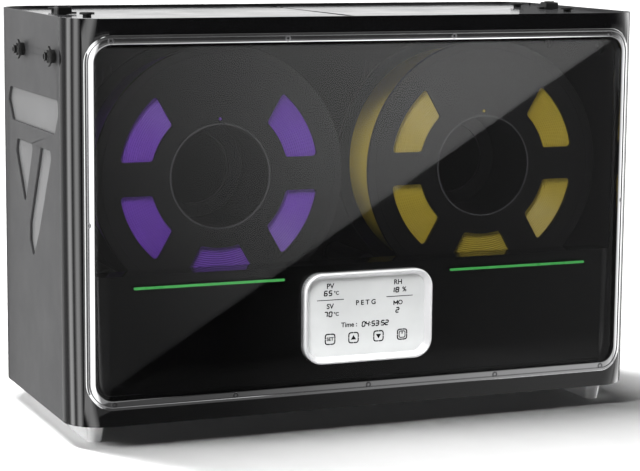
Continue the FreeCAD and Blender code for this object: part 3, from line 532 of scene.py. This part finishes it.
class Ink:
    """Flat printed shapes on the control glass, gathered into one mesh."""

    def __init__(self):
        self.verts = []
        self.faces = []

    def slab(self, outline):
        """A thin slab from a list of (x, z) in millimetres about the middle of the glass."""
        start = len(self.verts)
        count = len(outline)
        for depth in (0.0, INK_T):
            for x, z in outline:
                self.verts.append((x * MM, GLASS_LOW.y - depth, GLASS_MID_Z + z * MM))
        self.faces.append(tuple(range(start, start + count)))
        self.faces.append(tuple(range(start + 2 * count - 1, start + count - 1, -1)))
        for i in range(count):
            j = (i + 1) % count
            self.faces.append((start + i, start + j, start + count + j, start + count + i))

    def stroke(self, start, end, width):
        a = Vector(start)
        b = Vector(end)
        along = (b - a).normalized()
        side = Vector((-along.y, along.x)) * width / 2
        tip = along * width / 2
        self.slab([a - tip, a + side, b + side, b + tip, b - side, a - side])

    def digit(self, char, x, z):
        """A seven-segment digit whose lower left corner is at x, z, leaning a little."""
        w = DIGIT_W
        h = DIGIT_H
        gap = SEGMENT_GAP

        def at(u, v):
            return (x + u + v * DIGIT_SLANT, z + v)

        ends = {
            "a": (at(gap, h), at(w - gap, h)), "b": (at(w, h - gap), at(w, h / 2 + gap)),
            "c": (at(w, h / 2 - gap), at(w, gap)), "d": (at(gap, 0), at(w - gap, 0)),
            "e": (at(0, gap), at(0, h / 2 - gap)), "f": (at(0, h / 2 + gap), at(0, h - gap)),
            "g": (at(gap, h / 2), at(w - gap, h / 2)),
        }
        for segment in SEGMENTS[char]:
            self.stroke(*ends[segment], SEGMENT_W)

    def number(self, text, x, z, pitch=DIGIT_PITCH):
        """Digits and colons from x onwards."""
        for char in text:
            if char == ":":
                for dz in (DIGIT_H * 0.3, DIGIT_H * 0.7):
                    self.stroke((x + 0.3, z + dz), (x + 0.5, z + dz), 0.6)
                x += pitch * 0.45
            else:
                self.digit(char, x, z)
                x += pitch

    def letter_m(self, x, z, width, height):
        """A capital M whose lower left corner is at x, z."""
        top = z + height
        dip = (x + width / 2, z + height * 0.3)
        corners = [(x, z), (x, top), dip, (x + width, top), (x + width, z)]
        for start, end in zip(corners, corners[1:]):
            self.stroke(start, end, SEGMENT_W)

    def loop(self, x, z, size, width):
        """A rounded square drawn as a line, left open at the middle of each side."""
        half = size / 2
        steps = 14
        for first, last in KEY_ARCS:
            points = []
            for i in range(steps + 1):
                angle = 2 * math.pi * (first + (last - first) * i / steps) + math.pi / 4
                c = math.cos(angle)
                s = math.sin(angle)
                reach = half / (abs(c) ** 5 + abs(s) ** 5) ** 0.2
                points.append(Vector((x + reach * c, z + reach * s)))
            for a, b in zip(points, points[1:]):
                self.stroke(a, b, width)


def text_mesh(words, x, z, size):
    """Letters standing up on the glass, centred at x, z in millimetres about its middle."""
    curve = bpy.data.curves.new("letters", "FONT")
    curve.body = words
    curve.size = size * MM
    curve.extrude = INK_T / 2
    curve.offset = LETTER_WEIGHT
    curve.align_x = "CENTER"
    curve.align_y = "CENTER"
    obj = bpy.data.objects.new("letters", curve)
    bpy.context.scene.collection.objects.link(obj)
    bpy.context.view_layer.update()
    mesh = bpy.data.meshes.new_from_object(obj.evaluated_get(bpy.context.evaluated_depsgraph_get()))
    bpy.data.objects.remove(obj)
    place = Vector((x * MM, GLASS_LOW.y - INK_T / 2, GLASS_MID_Z + z * MM))
    mesh.transform(Matrix.Translation(place) @ Matrix.Rotation(math.pi / 2, 4, "X"))
    return mesh


def display_print():
    """The labels, readings and keys on the glass."""
    ink = Ink()
    ink.number("65", -35.7, 17.3)
    ink.number("70", -35.5, 0.9)
    ink.number("18", 20.3, 16.8)
    ink.number("2", 24.4, 0.9)
    ink.number("04:53:52", -4.0, -8.4, CLOCK_PITCH)
    for x, z in ((-41.5, 13.8), (16.5, 13.6)):
        ink.stroke((x, z), (x + RULE_LENGTH, z), RULE_W)
    for x in KEY_X:
        ink.loop(x, KEY_Z, KEY_SIZE, KEY_LINE)
    set_key, up_key, down_key, power_key = KEY_X
    ink.slab([(up_key - 2.2, KEY_Z - 1.5), (up_key + 2.2, KEY_Z - 1.5), (up_key, KEY_Z + 2.1)])
    ink.slab([(down_key - 2.2, KEY_Z + 1.5), (down_key, KEY_Z - 2.1), (down_key + 2.2, KEY_Z + 1.5)])
    ink.loop(power_key, KEY_Z, 5.0, 0.7)
    ink.stroke((power_key, KEY_Z + 0.5), (power_key, KEY_Z + 2.7), 0.8)
    ink.letter_m(22.7, 7.1, 3.1, 2.8)
    mesh = mesh_from("display_print", ink.verts, ink.faces)
    work = bmesh.new()
    work.from_mesh(mesh)
    words = [
        ("PV", -30.7, 24.4, 5.5), ("SV", -30.7, 8.7, 5.5), ("RH", 26.0, 24.6, 5.4), ("O", 28.2, 8.5, 4.8),
        ("°C", -25.6, 18.9, 3.9), ("°C", -25.6, 2.5, 3.9), ("%", 31.4, 18.6, 5.2),
        ("P E T G", -1.0, 10.2, 5.3), ("Time :", -14.7, -6.4, 5.2), ("SET", set_key, KEY_Z, 3.7),
    ]
    for line in words:
        letters = text_mesh(*line)
        work.from_mesh(letters)
        bpy.data.meshes.remove(letters)
    work.to_mesh(mesh)
    work.free()
    new_piece("display_print", mesh, "case", MATERIALS["ink"])


# ---------------------------------------------------------------- stage, light and camera

FLOOR_SIZE = 60.0
CAMERA_TARGET = Vector((-0.0413, CASE_FRONT, CASE_LOW + 0.1348))
CAMERA_DISTANCE = 1.6294
CAMERA_YAW = math.radians(22.420)
CAMERA_PITCH = math.radians(8.548)
CAMERA_ROLL = math.radians(0.483)
CAMERA_LENS = 121.17


def stage_floor():
    bpy.ops.mesh.primitive_plane_add(size=FLOOR_SIZE, location=(0, 0, 0))
    floor = bpy.context.object
    floor.name = "floor"
    paper = finish_material(
        "floor_paper", (0.93, 0.93, 0.93), 0.75, specular=0.1, tint=0.01, grain=60, bump=0.02)
    floor.data.materials.append(paper)
    floor.visible_glossy = False
    floor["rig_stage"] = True


def camera():
    data = bpy.data.cameras.new("camera")
    data.lens = CAMERA_LENS
    data.sensor_width = 36
    data.clip_end = 100
    obj = bpy.data.objects.new("camera", data)
    bpy.context.scene.collection.objects.link(obj)
    forward = Vector((
        math.sin(CAMERA_YAW) * math.cos(CAMERA_PITCH),
        math.cos(CAMERA_YAW) * math.cos(CAMERA_PITCH),
        -math.sin(CAMERA_PITCH),
    ))
    level = Vector((math.cos(CAMERA_YAW), -math.sin(CAMERA_YAW), 0))
    upright = level.cross(forward)
    right = level * math.cos(CAMERA_ROLL) + upright * math.sin(CAMERA_ROLL)
    up = upright * math.cos(CAMERA_ROLL) - level * math.sin(CAMERA_ROLL)
    turn = Matrix((right, up, -forward)).transposed().to_4x4()
    obj.matrix_world = Matrix.Translation(CAMERA_TARGET - forward * CAMERA_DISTANCE) @ turn
    bpy.context.scene.camera = obj
    return obj


def area_light(name, place, target, width, height, power):
    data = bpy.data.lights.new(name, "AREA")
    data.shape = "RECTANGLE"
    data.size = width
    data.size_y = height
    data.energy = power
    obj = bpy.data.objects.new(name, data)
    bpy.context.scene.collection.objects.link(obj)
    obj.location = place
    obj.rotation_euler = (Vector(target) - Vector(place)).to_track_quat("-Z", "Y").to_euler()
    return obj


def world_light(above, horizon):
    """A white surround, brightest in a low band, that shows to the camera and in reflections."""
    world = bpy.data.worlds.new("studio")
    world.use_nodes = True
    tree = world.node_tree
    coords = tree.nodes.new("ShaderNodeTexCoord")
    height = split(tree, coords.outputs["Generated"])[2]
    background = tree.nodes["Background"]
    background.inputs["Color"].default_value = (1, 1, 1, 1)
    sky = ramp(tree, height, 0.10, 0.30, horizon, above)
    ground = ramp(tree, height, -0.05, 0.0, 0.15, 1.0)
    tree.links.new(calc(tree, "MULTIPLY", sky, ground), background.inputs["Strength"])
    bpy.context.scene.world = world
    world.cycles_visibility.diffuse = False


WINDOW_SET = 2 * MM
WINDOW_FOOT = CASE_LOW + 30 * MM
WINDOW_HEAD = CASE_LOW + 281 * MM
SPLIT_FROM = (-188 * MM, CASE_LOW + 38 * MM)
SPLIT_TO = (207 * MM, CASE_LOW + 278 * MM)


def mirror_point(eye, x, z, depth):
    """Where a sight line bounced off the window at x, z meets the plane y = depth."""
    window_y = CASE_FRONT + WINDOW_SET
    image = Vector((eye.x, 2 * window_y - eye.y, eye.z))
    hit = Vector((x, window_y, z))
    way = hit - image
    return image + way * ((depth - image.y) / way.y)


CARD_Y = -0.15
CARD_X = (-0.228, 0.34)
CARD_LOW = -0.3
CARD_TOP = 0.45
CARD_DIM = 0.04
SPLIT_SOFT = 0.6 * MM
CORNER_FROM = 0.238
WALL_R = 0.22
WALL_TOP = 0.9
WALL_LOW = -0.6
WALL_STEPS = 60
# Each strip is (degrees round from straight ahead, brightness)
LEFT_STRIPS = [
    (14, 0.1), (24, 1.8), (30, 3.0), (40, 3.0), (47, 2.4), (53, 0.5), (58, 0.05), (65, 0.05), (71, 1.2),
    (76, 3.6), (83, 3.8), (88, 1.6), (92, 0.35), (96, 0.5), (102, 3.8), (110, 4.0), (116, 1.0), (121, 0.3),
    (135, 0.3), (147, 0.6), (158, 0.9),
]
RIGHT_STRIPS = [(60, 0.6), (72, 1.0), (84, 2.2), (98, 3.2), (110, 2.2), (118, 0.8), (124, 0.1), (168, 0.1)]


def glow_material(name, build):
    """An emission material whose strength comes from build(tree, object coordinates)."""
    material = bpy.data.materials.new(name)
    material.use_nodes = True
    tree = material.node_tree
    tree.nodes.clear()
    coords = tree.nodes.new("ShaderNodeTexCoord")
    emission = tree.nodes.new("ShaderNodeEmission")
    tree.links.new(build(tree, coords.outputs["Object"]), emission.inputs["Strength"])
    output = tree.nodes.new("ShaderNodeOutputMaterial")
    tree.links.new(emission.outputs["Emission"], output.inputs["Surface"])
    return material


def reflection_only(obj):
    obj.visible_camera = False
    obj.visible_diffuse = False
    obj.visible_shadow = False
    obj.visible_transmission = False
    obj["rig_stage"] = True


def front_card(eye):
    """A card in front of the box that shows only as the split reflection in its window."""
    low_left = mirror_point(eye, *SPLIT_FROM, CARD_Y)
    top_right = mirror_point(eye, *SPLIT_TO, CARD_Y)
    window_top = mirror_point(eye, 0, WINDOW_HEAD, CARD_Y).z
    window_low = mirror_point(eye, 0, WINDOW_FOOT, CARD_Y).z
    x0, x1 = CARD_X
    corners = [(x0, CARD_Y, CARD_LOW), (x1, CARD_Y, CARD_LOW), (x1, CARD_Y, CARD_TOP), (x0, CARD_Y, CARD_TOP)]
    mesh = mesh_from("front_card", corners, [(0, 1, 2, 3)])
    card = bpy.data.objects.new("front_card", mesh)
    bpy.context.scene.collection.objects.link(card)
    along = (top_right - low_left).normalized()

    def strength(tree, coords):
        x, y, z = split(tree, coords)
        dx = calc(tree, "SUBTRACT", x, low_left.x)
        dz = calc(tree, "SUBTRACT", z, low_left.z)
        across = calc(
            tree, "SUBTRACT", calc(tree, "MULTIPLY", dz, along.x), calc(tree, "MULTIPLY", dx, along.z))
        rise = calc(tree, "ADD", calc(tree, "MULTIPLY", dx, along.x), calc(tree, "MULTIPLY", dz, along.z))
        edge = ramp(tree, across, -SPLIT_SOFT, SPLIT_SOFT, 0.0, 1.0)
        lift = ramp(tree, rise, 0.0, (top_right - low_left).length * 0.8, 0.4, 3.5, "SMOOTHSTEP")
        inside = ramp(tree, z, window_top - 3.5 * MM, window_top - 2 * MM, 1.0, 0.0)
        lit = calc(tree, "MULTIPLY", calc(tree, "MULTIPLY", edge, lift), inside)
        above = calc(tree, "GREATER_THAN", z, window_top)
        top_fade = ramp(tree, z, window_top, window_top + 6 * MM, 0.32, 0.02)
        top_glow = calc(tree, "MULTIPLY", above, top_fade)
        far_glow = calc(tree, "MULTIPLY", inside, ramp(tree, x, -0.1, 0.25, 0.0, 0.5))
        low_fade = ramp(tree, z, window_low, window_low + 12 * MM, 1.0, 0.0)
        low_glow = calc(tree, "MULTIPLY", low_fade, ramp(tree, x, x0, 0.2, 0.05, 0.22))
        corner_glow = ramp(tree, x, CORNER_FROM, x1, 0.0, 0.7)
        total = lit
        for part in (top_glow, low_glow, far_glow, corner_glow, CARD_DIM):
            total = calc(tree, "ADD", total, part)
        return total

    mesh.materials.append(glow_material("front_card", strength))
    reflection_only(card)


def side_wall(name, hand, strips, first, last):
    """A curved wall with bright upright strips, reflected in one front corner; angles in degrees."""
    centre = Vector((hand * (CASE_HALF_W - CORNER_R), CASE_FRONT + CORNER_R, 0))
    verts = []
    for i in range(WALL_STEPS + 1):
        angle = math.radians(first + (last - first) * i / WALL_STEPS)
        x = hand * WALL_R * math.sin(angle)
        y = -WALL_R * math.cos(angle)
        verts += [(x, y, WALL_LOW), (x, y, WALL_TOP)]
    faces = [(2 * i, 2 * i + 2, 2 * i + 3, 2 * i + 1) for i in range(WALL_STEPS)]
    mesh = mesh_from(name, verts, faces)
    wall = bpy.data.objects.new(name, mesh)
    wall.location = centre
    bpy.context.scene.collection.objects.link(wall)

    def strength(tree, coords):
        x, y, z = split(tree, coords)
        angle = calc(tree, "ARCTAN2", calc(tree, "MULTIPLY", x, hand), calc(tree, "MULTIPLY", y, -1.0))
        curve = tree.nodes.new("ShaderNodeValToRGB")
        elements = curve.color_ramp.elements
        peak = max(level for _, level in strips)
        while len(elements) < len(strips):
            elements.new(0.5)
        for element, (degrees, level) in zip(elements, strips):
            element.position = degrees / 180
            element.color = (level / peak,) * 3 + (1,)
        tree.links.new(calc(tree, "DIVIDE", angle, math.pi), curve.inputs["Fac"])
        return calc(tree, "MULTIPLY", curve.outputs["Color"], peak)

    mesh.materials.append(glow_material(name, strength))
    reflection_only(wall)


def linked_light(light, objects):
    """The lamp lights only these objects."""
    group = bpy.data.collections.new(light.name + "_receivers")
    for obj in objects:
        group.objects.link(obj)
    light.light_linking.receiver_collection = group


SUN_TOTAL = 5.2
# The fan's suns are (degrees from straight down, share of the light)
SUN_FAN = [(3, 0.08), (7, 0.08), (11, 0.08), (16, 0.08), (22, 0.08), (28, 0.10), (36, 0.25)]
# Each sun adds the azimuth it shines towards, in degrees, and its width in radians
SUNS = [(tilt, share, 30, 0.14) for tilt, share in SUN_FAN] + [(55, 0.25, 86, 0.45)]
FRONT_SOFT_POWER = 85
FILLS = [("fill_right", (2.0, 0.4, 1.4), 40), ("fill_rear", (0.3, 2.2, 1.4), 50)]


def studio():
    """Soft suns from behind on the left, one low sun from the left, and fills for the object only."""
    world_light(0.22, 1.0)
    for number, (tilt, share, azimuth, width) in enumerate(SUNS):
        data = bpy.data.lights.new("sun_%d" % number, "SUN")
        data.energy = SUN_TOTAL * share / math.cos(math.radians(tilt))
        data.angle = width
        sun = bpy.data.objects.new("sun_%d" % number, data)
        bpy.context.scene.collection.objects.link(sun)
        run = math.tan(math.radians(tilt))
        heading = math.radians(azimuth)
        way = Vector((run * math.sin(heading), -run * math.cos(heading), -1.0))
        sun.rotation_euler = way.to_track_quat("-Z", "Y").to_euler()
        sun.visible_glossy = False
    shown = ("winding", "strand_end", "bore_lip", "display_print", "bezel_ring")
    receivers = [o for o in bpy.data.objects if o.name.startswith(shown)]
    receivers += [NODES[n] for n in ("control_glass", "light_bars", "skid_rails")]
    front = area_light("front_soft", (-0.9, -1.3, 1.5), (0, -0.1, 0.17), 0.8, 0.8, FRONT_SOFT_POWER)
    linked_light(front, receivers)
    pieces = [o for o in bpy.data.objects if o.type == "MESH" and not o.get("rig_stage")]
    for name, place, power in FILLS:
        fill = area_light(name, place, (0, 0, 0.16), 1.2, 1.2, power)
        fill.visible_glossy = False
        linked_light(fill, pieces)


dress_cad_nodes()
for side in SIDES:
    filament_winding(side)
    spool_rings(side)
    strand_end(side)
window_rim()
display_print()
bezel_ring()
paint_display_shade()
stage_floor()
eye = camera()
studio()
front_card(eye.location)
side_wall("left_wall", SIDES["left"], LEFT_STRIPS, 4, 168)
side_wall("right_wall", SIDES["right"], RIGHT_STRIPS, 62, 168)
bpy.context.scene.view_settings.view_transform = "Standard"
